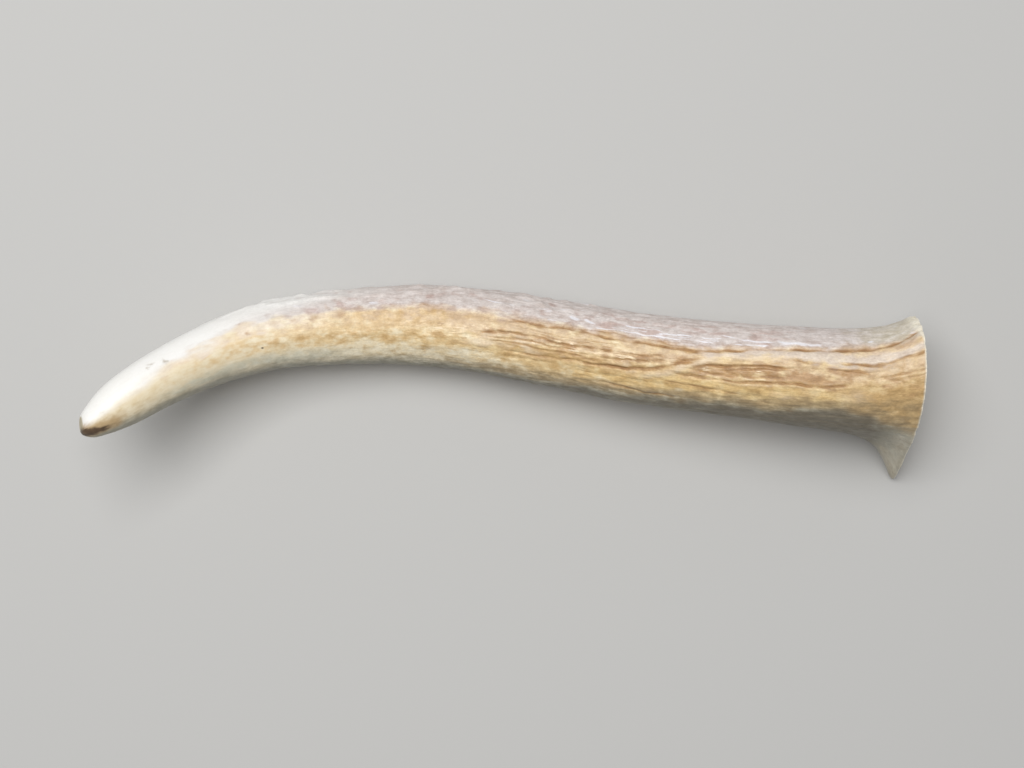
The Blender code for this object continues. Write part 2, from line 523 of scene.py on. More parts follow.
def path_offset(places):
    """Millimetres across from the path through these places: distances along and bearings.

    The turn away from the path's bearing times the local reach is the way round. Where the
    path runs aslant, that is longer than the way straight across by the root of 1 + slope^2.
    """
    spots = np.array(places, dtype=float)
    inside = np.clip(along, spots[0, 0], spots[-1, 0])
    bearing = smooth_through(spots[:, 0], spots[:, 1:], inside)[:, 0]
    slope = np.gradient(np.radians(bearing), along) * radius
    return np.radians(B - bearing[:, None]) * reach / np.sqrt(1 + slope**2)[:, None] + wobble


def stroke(places, width, fade=4.0):
    """A bell curve across a path, thinning out over the fade at its ends, unless at the rim."""
    start, end = places[0][0], places[-1][0]
    ends = rise(start - fade / 2, start + fade, S)
    if end < LENGTH:
        ends = ends * (1 - rise(end - fade, end + fade / 2, S))
    return bell(path_offset(places), width) * ends


DRAWN = [  # places, half width, depth, stain
    ([(122, 71), (128, 71), (133, 72), (138, 70), (144, 69.5), (150, 73), (157, 72), (165, 73),
      (171, 74), (176, 73), (181, 70), (186, 67), (191, 64), (197, 61), (204, 60), (210, 58),
      (218, 55.5), (224, 52), (228, 47), (232, 43)], 0.36, 0.36, 0.9),
    ([(139, 66), (148, 65), (156, 66), (163, 66.5), (168, 69), (172, 73)], 0.28, 0.24, 0.65),
    ([(114, 93), (118, 91), (122, 88), (128, 87), (134, 89), (140, 91), (146, 89), (153, 89.5),
      (160, 88), (167, 84)], 0.28, 0.28, 0.66),
    ([(124, 78), (132, 80), (140, 81), (149, 79), (157, 80)], 0.24, 0.2, 0.45),
    ([(128, 84), (136, 85), (144, 84), (151, 84.5)], 0.22, 0.18, 0.45),
    ([(117, 98), (122, 96), (128, 94.5), (136, 96), (141, 94)], 0.24, 0.24, 0.6),
    ([(141, 99), (148, 98), (156, 96.5), (162, 93.5), (168, 89)], 0.26, 0.28, 0.65),
    ([(122, 112), (130, 112), (137, 110.5), (143, 108), (148, 109.5), (154, 107.5),
      (159, 105)], 0.3, 0.34, 0.66),
    ([(148, 109.5), (154, 107.5), (159, 105), (163, 102), (167, 98), (170, 92), (172, 88),
      (174, 83), (177, 77)], 0.46, 0.56, 1.0),
    ([(118, 103), (126, 101), (134, 103), (141, 102), (149, 104)], 0.26, 0.22, 0.6),
    ([(173, 97), (175, 93), (178, 90), (182, 89), (186, 87.5), (190, 84.5), (195, 83.5),
      (200, 82)], 0.32, 0.42, 0.95),
    ([(181, 93), (186, 91), (191, 88), (195, 86), (199, 84.5)], 0.26, 0.28, 0.8),
    ([(197, 73.5), (201, 74.5), (204, 75.5), (208, 77)], 0.26, 0.24, 0.8),
    ([(169, 102), (172, 104.5), (177, 105.5), (185, 106), (190, 104), (196, 101.5), (201, 101),
      (205, 102.5), (209, 101), (213, 97)], 0.34, 0.46, 1.0),
    ([(176, 98), (183, 99), (190, 97), (198, 94)], 0.26, 0.24, 0.65),
    ([(210, 72.5), (214, 74), (219, 74), (223, 71), (227, 68), (232, 66.5)], 0.32, 0.42, 0.95),
    ([(206, 80), (210, 81), (215, 82.5), (219, 81)], 0.26, 0.22, 0.6),
    ([(220, 88.5), (224, 85.5), (228, 82.5), (232, 80)], 0.28, 0.32, 0.75),
    ([(225, 90), (229, 86.5), (232, 84)], 0.24, 0.28, 0.7),
    ([(164, 113), (170, 115), (176, 117), (181, 120), (187, 123)], 0.26, 0.26, 0.75),
    ([(149, 130), (153, 132), (158, 134), (165, 137), (171, 138)], 0.3, 0.24, 0.6),
    ([(149.4, 54), (150.2, 50), (151, 46), (152.4, 38)], 0.22, 0.25, 0.8),
]
cut_depth, bank, furrow_stain, halo = (np.zeros_like(S) for _ in range(4))
for places, width, depth, stain in DRAWN:
    bed = stroke(places, BED_SPREAD * width * swell) * presence
    wide = stroke(places, BANK_SPREAD * width) * presence
    cut_depth = strongest(cut_depth, BED_SHARE * depth * bed)
    bank = strongest(bank, BANK_SHARE * depth * (wide - bed))
    furrow_stain = strongest(furrow_stain, stain * bed)
    halo = strongest(halo, stain * stroke(places, 0.9 + 1.3 * depth, 5) * presence)
relief = relief - cut_depth + bank
print("drawn furrows", len(DRAWN), "deepest", round(cut_depth.max(), 2), "mm")

# %% [markdown]
# ## The hollow and the forked ridge
#
# Between two of the drawn furrows lies a shallow hollow, as long as a finger joint, whose floor is
# rough. Before it a pale ridge comes up between the arc and the hollow, and forks off along the
# edge of the pale band. Both are wide, so they are soft shapes under the lines: the hollow is half
# an ellipse between its two edges, and the ridge is one more drawn path, but raised.

# %% Hollow and ridge
RIDGE = [(158, 114), (163, 111), (168, 105), (171, 98), (174, 91), (177, 84), (181, 78),
         (188, 75), (196, 70), (207, 67)]
HOLLOW_TOP = [(174, 96), (178, 90), (186, 87), (195, 82), (203, 80), (212, 82), (217, 86)]
HOLLOW_FOOT = [(174, 104), (185, 106), (190, 104), (196, 102), (205, 102), (212, 99), (217, 96)]
HOLLOW_DEPTH, RIDGE_HEIGHT = 0.36, 0.32

top_off, foot_off = path_offset(HOLLOW_TOP), path_offset(HOLLOW_FOOT)
hollow_start, hollow_end = HOLLOW_TOP[0][0], HOLLOW_TOP[-1][0]
share = top_off / np.maximum(top_off - foot_off, 0.5)
in_span = rise(hollow_start - 2, hollow_start + 5, S)
in_span = in_span * (1 - rise(hollow_end - 8, hollow_end + 1, S))
hollow = limited(4 * share * (1 - share)) * in_span
hollow_floor = 0.20 * grown_noise(2.8, 24, 45) + 0.16 * grown_noise(1.8, 44, 46)
ridge = stroke(RIDGE, 1.0, fade=5)
relief = relief - HOLLOW_DEPTH * np.sqrt(hollow) + hollow_floor * hollow + RIDGE_HEIGHT * ridge
print("hollow from", hollow_start, "to", hollow_end, "mm from the tip")

# %% [markdown]
# ## Fine grain, polish and the worn point
#
# All over the shaft run hair lines, finest on the bleached upper side. They follow the growth and
# so spread out with the flare. Towards the tip the animal rubbed everything smooth on trees, so
# every layer fades out there, and the very end is rubbed to a small slanting flat. Rubbing leaves
# no sharp border, so the flat's edge is rounded by a fraction of a millimetre.

# %% Grain and wear
WEAR_POINT = (-108.95, -12.0, 34.95)
WEAR_NORMAL = (-0.88, -0.06, 0.46)
WEAR_ROUNDING = 0.35

hair_lines = grown_noise(11, 62, 51, turn=wander) + 0.7 * grown_noise(6, 110, 52)
wrinkles = grown_noise(3.0, 44, 53, warp=0.4 * grown_noise(6, 10, 54), turn=wander)
hair_depth = rise(40, 120, S) * (0.04 + 0.04 * upper + 0.02 * below)
face_roughness = by_band(1, 0, 0, 0.5) * rise(92, 124, S)
relief = relief + hair_depth * hair_lines + 0.12 * wrinkles * face_roughness
relief = relief * rise(14, 62, S) + 0.07 * grown_noise(9, 7, 55) * rise(2, 10, S)


def proud_of(points, on_plane, outward):
    """How far points stand out beyond a plane, in millimetres."""
    return (points - np.array(on_plane)) @ unit(np.array(outward))


def rub_flat(points, on_plane, outward, rounding=0.0):
    """Push whatever stands proud of this plane back onto it, and round the edge of the flat.

    The push is half of (proud + root of (proud squared + rounding squared)).
    """
    proud = proud_of(points, on_plane, outward)
    push = (proud + np.sqrt(proud**2 + rounding**2)) / 2
    return points - push[..., None] * unit(np.array(outward))


print("relief from", round(relief.min(), 2), "to", round(relief.max(), 2), "mm")

# %% [markdown]
# ## The rim
#
# The flare ends in the saw cut, as a thin edge that has been knocked about. The edge is broken a
# little all round, as the saw's burr wears off, and a few small nicks are missing from it. Near
# the cut the skin may only move within the plane of the cut, or the base would no longer be flat.

# %% Rim
NICK_LENGTH = 1.1
BURR_WORN = 0.20
BURR_LENGTH = 0.4
NICKS = [  # bearing, depth in millimetres, width in degrees
    (5, 0.20, 2.6), (17, 0.50, 2.2), (24, 0.18, 1.8), (33, 0.38, 3.0), (47, 0.22, 4.0),
    (58, 0.30, 3.0), (72, 0.2, 3.0), (95, 0.25, 4.0), (118, 0.2, 4.0), (150, 0.25, 5.0),
    (300, 0.35, 5.0), (322, 0.3, 3.5),
]

nicked = sum(depth * bell(off_from(bearing), width) for bearing, depth, width in NICKS)
chipped = nicked * (1.1 + 0.6 * grown_noise(2.0, 90, 61)) * bell(TO_CUT, NICK_LENGTH)
burr_worn = BURR_WORN * np.exp(-TO_CUT / BURR_LENGTH) * (1 + 0.8 * grown_noise(3, 120, 62))
relief = relief - chipped - burr_worn


def outward_of(points):
    """Unit normals: the step round the ring crossed with the step along the antler."""
    around = np.roll(points, -1, axis=1) - np.roll(points, 1, axis=1)
    onward = np.gradient(points, axis=0)
    normal = np.cross(around, onward)
    return normal / np.maximum(np.linalg.norm(normal, axis=2, keepdims=True), 1e-9)


outward = outward_of(skin)
outward[..., 0] *= rise(0, 2.5, TO_CUT)
outward = outward / np.maximum(np.linalg.norm(outward, axis=2, keepdims=True), 1e-9)
bark = skin + relief[..., None] * outward
worn_away = proud_of(bark, WEAR_POINT, WEAR_NORMAL)
bark = rub_flat(bark, WEAR_POINT, WEAR_NORMAL, WEAR_ROUNDING)
bark = rub_flat(bark, (0, 0, 0), (0, 0, -1))
bark = rub_flat(bark, (stations[-1, 0], 0, 0), (1, 0, 0))
bark[-1, :, 0] = stations[-1, 0]
print("skin box", bark.min(axis=(0, 1)).round(1), bark.max(axis=(0, 1)).round(1))

# %% [markdown]
# ## The sawn face
#
# The saw cut shows plain bone: dense and pale at the outside, with fine pores towards the middle.
# The teeth left faint straight ridges across it. The face is filled with rings that shrink from
# the rim to the middle, which keeps it one closed skin with the bark. The ridges are pressed into
# it by a tenth of a millimetre, and the pores, which are finer than the grid, are left to the
# material.

# %% Sawn face
FACE_RINGS = 17
FACE_CROWDING = 0.85
SAW_LEAN = np.radians(24)
SAW_PITCH = 1.7
SAW_DEPTH = 0.10

rim = bark[-1]
face_centre = np.array(CENTRE_LINE[-1][:3])
shrink = (1 - np.arange(1, FACE_RINGS + 1) / (FACE_RINGS + 1)) ** FACE_CROWDING
face = face_centre + (rim - face_centre) * shrink[:, None, None]
across = face[..., 1] * np.cos(SAW_LEAN) + face[..., 2] * np.sin(SAW_LEAN)
sawn = 0.5 + 0.5 * np.sin(2 * np.pi * across / SAW_PITCH + 1.3 * np.sin(across * 0.9))
face[..., 0] -= SAW_DEPTH * sawn * rise(0, 0.12, 1 - shrink)[:, None]
print("saw ridges", SAW_PITCH, "mm apart")

# %% [markdown]
# ## One closed mesh
#
# The rings become quads, a fan of triangles closes the tip and another the middle of the sawn
# face. Corners are listed so that every face points outwards. The edge between bark and saw cut
# is marked sharp, so that smooth shading doesn't roll round it.

# %% Mesh
bark_rows = bark[1:]
tip_point = bark[0].mean(axis=0)
middle_point = face[-1].mean(axis=0)
points = np.concatenate([
    bark_rows.reshape(-1, 3), face.reshape(-1, 3), [tip_point, middle_point],
])
ring_count = len(bark_rows) + FACE_RINGS
tip_index, middle_index = ring_count * COLUMNS, ring_count * COLUMNS + 1


def quads_between(first_ring, last_ring):
    """Each quad's four corners: a column and its neighbour, on one ring and on the next."""
    ring, column = np.meshgrid(
        np.arange(first_ring, last_ring), np.arange(COLUMNS), indexing="ij"
    )
    here, beside = ring * COLUMNS + column, ring * COLUMNS + (column + 1) % COLUMNS
    corners = np.stack([here, beside, beside + COLUMNS, here + COLUMNS], axis=-1)
    return corners.reshape(-1, 4)


columns = np.arange(COLUMNS)
next_column = (columns + 1) % COLUMNS
last_start = (ring_count - 1) * COLUMNS
tip_fan = np.stack([np.full(COLUMNS, tip_index), next_column, columns], axis=1)
quads = quads_between(0, ring_count - 1)
middle_fan = np.stack(
    [np.full(COLUMNS, middle_index), last_start + columns, last_start + next_column], axis=1
)
faces = tip_fan.tolist() + quads.tolist() + middle_fan.tolist()

mesh = bpy.data.meshes.new("antler_skin")
mesh.from_pydata((points * MM).tolist(), [], faces)
bark_face_count = COLUMNS + (len(bark_rows) - 1) * COLUMNS
slot_of = np.zeros(len(faces), dtype=np.int32)
slot_of[bark_face_count:] = 1
mesh.polygons.foreach_set("use_smooth", np.ones(len(faces), dtype=bool))

edge_ends = np.empty(len(mesh.edges) * 2, dtype=np.int32)
mesh.edges.foreach_get("vertices", edge_ends)
rim_first = (len(bark_rows) - 1) * COLUMNS
on_rim = (edge_ends.reshape(-1, 2) >= rim_first) & (edge_ends.reshape(-1, 2) < rim_first + COLUMNS)
sharp = mesh.attributes.new("sharp_edge", "BOOLEAN", "EDGE")
sharp.data.foreach_set("value", on_rim.all(axis=1))
triangles = 2 * len(quads) + 2 * COLUMNS
print("triangles", triangles, "sharp rim edges", int(on_rim.all(axis=1).sum()))

# %% [markdown]
# ## A flat map of the skin
#
# A finished model stores its colours in a square picture, so the skin is laid out flat. The bark
# is cut into two lengths that stand side by side, with all the way round across each. The
# sawn face lies below them. Nothing overlaps and every stretch of bone gets about the same room.

# %% Flat map
MAP_GAP = 0.006
BARK_FOOT = 0.235
FACE_ROOM = 0.215

split = len(bark_rows) // 2
band_width = 0.5 - 2 * MAP_GAP


def flat_quads():
    """Map corners of every bark quad, ring by ring, with the last column at the far side."""
    ring, column = np.meshgrid(np.arange(len(bark_rows) - 1), columns, indexing="ij")
    right = ring >= split
    start = np.where(right, 0.5 + MAP_GAP, MAP_GAP)
    tall = 1 - MAP_GAP - BARK_FOOT
    rings_here = np.where(right, len(bark_rows) - 1 - split, split + 1)
    base = np.where(right, ring - split, ring + 1)
    corners = []
    for ring_step, column_step in ((0, 0), (0, 1), (1, 1), (1, 0)):
        u = start + (column + column_step) / COLUMNS * band_width
        v = BARK_FOOT + (base + ring_step) / rings_here * tall
        corners.append(np.stack([u, v], axis=-1))
    return np.stack(corners, axis=2).reshape(-1, 2)


def flat_tip():
    """Map corners of the tip fan: a saw-tooth row under the first ring of the left length."""
    step = (1 - MAP_GAP - BARK_FOOT) / (split + 1)
    u = MAP_GAP + columns[:, None] / COLUMNS * band_width + np.array([0.5, 1, 0]) * (
        band_width / COLUMNS
    )
    v = BARK_FOOT + np.broadcast_to(np.array([0, step, step]), (COLUMNS, 3))
    return np.stack([u, v], axis=-1).reshape(-1, 2)


def flat_face(corner_points):
    """Map places of sawn-face corners: their y and z, scaled into the strip under the bark."""
    low = rim[:, 1:].min(axis=0)
    size = (rim[:, 1:].max(axis=0) - low).max()
    return MAP_GAP + (corner_points[..., 1:] - low) / size * FACE_ROOM


face_quads = quads[(len(bark_rows) - 1) * COLUMNS :]
flat = np.concatenate([
    flat_tip(), flat_quads(),
    flat_face(points[face_quads.reshape(-1)]), flat_face(points[middle_fan.reshape(-1)]),
])
flat_map = mesh.uv_layers.new(name="OFBake")
flat_map.uv.foreach_set("vector", flat.astype(np.float32).ravel())
print("map from", flat.min(axis=0).round(3), "to", flat.max(axis=0).round(3))

# %% [markdown]
# ## Where the bone is stained
#
# Colour on an antler follows its shape. Tannin from bark settled in the furrows, sun and rain
# bleached the upper side, and rubbing polished the tip. Each stain becomes a map, which is a number
# from 0 to 1 at every point of the skin. A picture could hold these maps, but they would then have
# to be painted to fit the relief. Worked out from the same bands, paths and noises as the relief,
# they fit it by themselves. Noises from broad clouds to fine flecks thin and thicken them.

# %% Spots and noises
drift, sway = grown_noise(2.6, 34, 68), grown_noise(2.4, 38, 69)
cloud = layered(14, 10, 71, 3)
streak = layered(10, 34, 74, 2, turn=wander)
small_cloud = layered(4.0, 24, 76, 3, turn=wander)
fleck = layered(2.2, 36, 79, 2)


def dab(at, bearing, long, wide):
    """An oval spot: a bell curve along the antler times one round it, bent by two noises."""
    off = np.radians(off_from(bearing)) * reach
    return bell(S - at + 0.8 * drift, long) * bell(off + 0.5 * sway, wide)


def dabs(spots):
    """The strongest of several spots at each place."""
    return strongest(*(strength * dab(*spot) for *spot, strength in spots))


print("small clouds from", round(small_cloud.min(), 2), "to", round(small_cloud.max(), 2))

# %% [markdown]
# ## Gold, tan and rust on the broad face
#
# The face that was turned away from the weather kept its colour. It is honey gold near the tip and
# deeper gold towards the base, with a tan strip beside the bleached side. Ochre and rust lie on top
# where dirt settled: in a halo round each furrow, in the creases, on the floor of the hollow, and
# in single spots, which anyone who knows this antler would look for and so are placed one by one.

# %% Warm stains
RUST_SPOTS = [  # distance along, bearing, half length, half width, strength
    (50, 80, 0.6, 0.5, 0.8), (68, 82, 1.8, 1.3, 0.8), (63, 77, 1.5, 1.3, 0.45),
    (73, 58, 1.4, 1.1, 0.5), (77, 74, 2.4, 1.1, 0.6), (84, 62, 1.6, 0.8, 0.6), (85, 70, 1.2, 0.8, 0.5),
    (92, 61, 1.5, 0.8, 0.5), (99, 61, 2.6, 0.7, 0.6), (103, 63, 1.6, 0.7, 0.5),
    (100, 87, 2.5, 0.4, 0.45), (106, 88, 2.0, 0.5, 0.55), (112, 104, 0.7, 0.6, 0.8),
    (118, 91, 1.7, 1.9, 0.9), (121, 87, 2.2, 0.9, 0.6), (126, 71, 3.0, 0.7, 0.6),
    (140, 92, 2.2, 1.2, 0.95), (142, 68, 2.4, 0.8, 0.55), (131, 91, 2.2, 0.9, 0.6),
    (150, 93, 2.6, 1.0, 0.55), (160, 90, 3.0, 1.2, 0.55), (172, 86, 2.2, 1.0, 0.8),
    (183, 96, 2.2, 1.3, 0.75), (187, 92, 2.2, 1.2, 0.65), (192, 85, 3.0, 1.1, 0.75),
    (197, 95, 2.0, 1.5, 0.6), (200, 88, 2.0, 1.5, 0.55), (205, 98, 2.6, 1.2, 0.65),
    (208, 82, 2.4, 1.1, 0.75), (214, 83, 2.6, 0.8, 0.85), (221, 97, 2.6, 0.8, 0.85),
    (224, 90, 2.0, 0.8, 0.55), (228, 107, 2.4, 1.0, 0.6), (187, 126, 2.0, 1.0, 0.6),
    (192, 129, 2.8, 1.0, 0.5), (166, 67, 2.8, 0.8, 0.45), (220, 56, 2.4, 0.6, 0.6),
    (227, 50, 2.0, 0.7, 0.55), (230, 98, 2.0, 1.2, 0.45),
]
OCHRE_SPOTS = [
    (34, 82, 1.4, 1.2, 0.5), (39, 86, 1.8, 1.1, 0.36), (45, 101, 3.2, 1.5, 0.2),
    (50, 106, 3.0, 1.6, 0.22), (56, 104, 3.0, 1.6, 0.2), (64, 104, 2.4, 1.6, 0.34),
    (75, 107, 2.4, 1.7, 0.5), (80, 104, 2.0, 1.8, 0.62), (70, 76, 1.8, 1.2, 0.55),
    (84, 78, 1.6, 1.0, 0.45), (89, 98, 1.4, 1.0, 0.5), (95, 94, 1.7, 1.0, 0.65),
    (93, 73, 2.0, 1.0, 0.45), (103, 72, 1.6, 1.0, 0.55), (97, 108, 2.0, 1.3, 0.45),
    (105, 105, 2.0, 1.4, 0.55), (110, 110, 2.2, 1.2, 0.55), (112, 93, 1.6, 0.8, 0.55),
    (121, 105, 2.0, 1.0, 0.7), (126, 103, 3.6, 1.1, 0.9), (124, 121, 2.0, 1.5, 0.6),
    (132, 107, 3.6, 1.0, 0.8), (138, 103, 3.0, 1.2, 0.8), (138, 121, 2.8, 1.6, 0.6),
    (146, 108, 3.0, 1.1, 0.9), (145, 119, 2.0, 1.5, 0.5), (152, 117, 2.4, 1.4, 0.6),
    (161, 121, 2.0, 1.2, 0.55), (157, 101, 3.0, 1.0, 0.5), (168, 120, 2.4, 1.0, 0.5),
    (176, 122, 2.0, 1.2, 0.45), (183, 112, 1.6, 1.0, 0.35), (218, 118, 3.0, 1.3, 0.6),
    (224, 112, 2.6, 1.4, 0.55), (229, 92, 2.0, 1.2, 0.5), (226, 124, 3.6, 1.4, 0.55),
    (213, 106, 1.8, 1.2, 0.4), (225, 77, 1.6, 0.8, 0.4),
]

far_side = rise(112, 126, B)
gold = warm * rise(32, 98, S) * (0.35 + 0.65 * rise(84, 98, B + 24 * rise(52, 74, S)))
gold = gold * (1 - 0.85 * far_side * (1 - rise(104, 142, S)))
gold = limited(gold * (0.92 + 0.40 * cloud + 0.15 * small_cloud) + 0.40 * warm * rise(140, 196, S))
tan = side_of(44, 97, 9) * warm * rise(50, 96, S) * (0.78 + 0.40 * cloud + 0.35 * small_cloud)
tan_under = under * rise(40, 130, S) * (0.8 + 0.5 * cloud + 0.4 * small_cloud)
tan = limited(tan + 0.90 * tan_under)
honey = warm * rise(16, 44, S) * (1 - rise(96, 124, S)) * (1 - far_side)
honey = limited(honey * (0.42 + 0.8 * small_cloud - 0.55 * fleck + 0.4 * side_of(82, 96, 6)))
sunny = limited(side_of(105, 130, 7) * between(142, 216, 14, S) * (0.75 + 0.5 * small_cloud))

ochre_spots = dabs(OCHRE_SPOTS) * rise(-1.0, 0.1, small_cloud) * (0.6 + 0.4 * rise(76, 104, S))
ochre_band = 0.55 * between(118, 152, 8, S) + 0.25 * between(40, 112, 8, S)
ochre_band = ochre_band * side_of(99, 112, 5) * (0.9 + small_cloud)
ochre_clouds = warm * rise(50, 92, S) * limited(small_cloud + 0.4 * cloud - 0.02)
flare_brown = side_of(94, 140, 18) * rise(205, 221, S)
flare_brown = flare_brown * (1.10 + 0.25 * small_cloud + 0.5 * streak)
ochre = limited(ochre_spots + ochre_band + 0.70 * ochre_clouds + 0.60 * halo + flare_brown)

rust_spots = dabs(RUST_SPOTS) * rise(-1.0, 0.0, small_cloud)
rust_hollow = hollow * (0.8 + small_cloud)
rust_streaks = side_of(80, 104, 6) * rise(112, 130, S) * np.clip(0.6 + streak + small_cloud, 0, 2)
rust_streaks = rust_streaks * (1 - 0.6 * rise(206, 220, S))
rust_creases = creasing * crease_dark * by_band(0.45, 0, 0.22, 0.55)
rust = limited(
    0.34 * halo + rust_spots + 0.50 * rust_hollow + 0.30 * rust_streaks + rust_creases
)
print("means", {"gold": round(gold.mean(), 3), "ochre": round(ochre.mean(), 3),
                "rust": round(rust.mean(), 3)})

# %% [markdown]
# ## Grey, pink and purple on the bleached side
#
# Rain and sun took the colour out of the upper side and left a warm grey. Between the beads and
# along the streaks it keeps a little purple, and where it meets the gold there is a pinkish seam.
# On the polished end all this passes into ivory. A plain fade from grey to white would look like
# paint, so ivory reaches further along the crest than beside it.

# %% Bleached side
PURPLE_SPOTS = [
    (68, 60, 2.2, 1.1, 0.8), (57, 58, 1.6, 1.0, 0.35), (76, 53, 1.6, 1.0, 0.5),
    (80, 49, 1.8, 1.2, 0.55), (79, 61, 1.8, 0.9, 0.5), (102, 46, 1.6, 1.0, 0.5),
    (62, 66, 1.2, 0.6, 0.4), (49, 60, 1.0, 0.8, 0.35), (88, 54, 1.6, 1.0, 0.4),
    (126, 47, 2.0, 1.0, 0.4), (131, 55, 2.0, 1.0, 0.4), (147, 56, 2.4, 0.9, 0.4),
]

weathered = upper * rise(0, 34, S) * (1.0 + 0.10 * cloud)
weathered = limited(weathered + 0.22 * under * rise(100, 150, S) * (1 + cloud))
pinkish = bell(past_top - 1, 8.0) * rise(56, 90, S)
pinkish = limited(pinkish * (0.74 + 0.35 * small_cloud))
blush = bell(past_top - 10, 14.0) * between(26, 74, 12, S)
blush = limited(blush * (0.80 + 0.45 * small_cloud + 0.2 * cloud))
purple_hollows = rise(0.10, 0.75, -bead_field) * between(60, 140, 18, S) * upper
purple_hollows = purple_hollows * (0.8 + 0.5 * cloud)
purple_streaks = limited(streak + 0.4 * small_cloud + 0.40) * upper
purple_streaks = purple_streaks * side_of(30, 66, 12) * between(138, 204, 14, S)
purple = limited(dabs(PURPLE_SPOTS) + 0.55 * purple_hollows + 0.75 * purple_streaks)
ivory = upper * (1 - rise(22, 88, S - 18 * (1 - rise(34, 58, B)) * rise(44, 64, S)))
polish = 1 - rise(34, 84, S)
print("mean weathered", round(weathered.mean(), 3), "ivory", round(ivory.mean(), 3))

# %% [markdown]
# ## Olive and grey below
#
# The lower side is darker: its cool grey-green is partly stain and partly painted shade, with grime
# and more painted shade that grow towards the base, and an olive seam where it meets the gold. The
# flare was protected by the main beam, so it ends paler. These maps run in plain steps along the
# antler, and streaks do the rest.

# %% Lower side
# Painted shade: a cool grey-green tint on the lower side near the tip.
cool_shade = limited(side_of(125, 147, 8) * between(22, 78, 12, S) * (0.75 + 0.4 * small_cloud))
# Painted shade, partly stain: the whole lower band is painted darker.
shaded = limited(below * (0.82 + 0.25 * rise(0, 60, S)))
# Grime, partly painted shade: the lower side is painted darker still towards the base.
grime_and_shade = below * (0.62 * rise(70, 108, S) + 0.14 * rise(108, 150, S) + 0.40 * rise(160, 200, S))
grime_and_shade = grime_and_shade * (1 - 0.75 * rise(214, 228, S)) * rise(-6, 22, past_foot)
grime_and_shade = limited(grime_and_shade * (1.0 + 0.22 * streak + 0.12 * small_cloud))
olive = bell(past_foot + 1, np.where(past_foot < -1, 9.0, 15.0)) * rise(88, 128, S)
olive = strongest(olive, 0.75 * side_of(108, 150, 18) * rise(212, 225, S))
olive = limited(olive * (0.85 + 0.25 * small_cloud + 0.5 * streak))
flare_pale = side_of(152, 232, 16) * rise(219, 230, S) * (0.8 + 0.3 * small_cloud)
flare_pale = strongest(flare_pale, 0.8 * upper * rise(202, 228, S))
print("mean grime", round(grime_and_shade.mean(), 3), "olive", round(olive.mean(), 3))

# %% [markdown]
# ## Pale ridges, painted highlights and glints
#
# The forked ridge and a milky band along the bleached side are paler than the rest. The banks beside
# the furrows, the crests and a few spots are painted paler too, partly as painted highlights. Where
# the face is worn smooth, single crests get a glint, a highlight painted into the colour. Each of
# these maps is left out of the furrow beds, which stay dark.

# %% Pale ridges
FULL_BANK = 0.13
PALE_BAND = [(173, 79), (180, 75), (188, 70), (196, 67), (206, 68), (216, 70), (224, 66), (232, 59)]
PALE_AND_HIGHLIGHT_SPOTS = [
    (214.5, 110, 4.5, 2.2, 0.6), (197, 117, 3.6, 1.6, 0.45), (223.5, 80, 1.6, 1.1, 0.75),
    (203, 108, 2.6, 1.4, 0.35),
]

milky = stroke(PALE_BAND, 1.3 + 1.1 * between(203, 222, 7, S), 6)
milky = limited(milky * (0.75 + 0.30 * rise(186, 208, S) + 0.35 * small_cloud))
milky = milky * (1 - furrow_stain)
# Paler ridges, banks, crests and spots: partly the bone's own colour, partly painted highlights.
pale_and_highlight = strongest(
    0.85 * ridge * (0.9 + 0.4 * small_cloud),
    0.45 * side_of(73, 84, 4) * warm * between(124, 172, 8, S) * (0.8 + small_cloud),
    0.82 * side_of(88, 113, 7) * between(110, 134, 8, S) * (0.7 + 0.6 * small_cloud + 0.6 * streak),
    0.80 * limited(bank / FULL_BANK) * (0.6 + 0.6 * small_cloud),
    0.40 * crest_highlight * warm * creasing,
    dabs(PALE_AND_HIGHLIGHT_SPOTS),
)
pale_and_highlight = limited(pale_and_highlight * (1 - furrow_stain))
# Painted highlights: bright glints painted on single crests of the worn face.
glint = side_of(84, 101, 5) * between(94, 162, 8, S)
glint = glint + side_of(88, 104, 4) * between(174, 196, 5, S)
glint = glint + 0.8 * side_of(58, 78, 5) * between(50, 70, 6, S)
glint = glint * (0.52 + 0.45 * grown_noise(5.0, 40, 81, turn=wander) + 0.25 * fleck)
glint = limited(glint * (1 - furrow_stain))
print("mean pale", round(pale_and_highlight.mean(), 3))
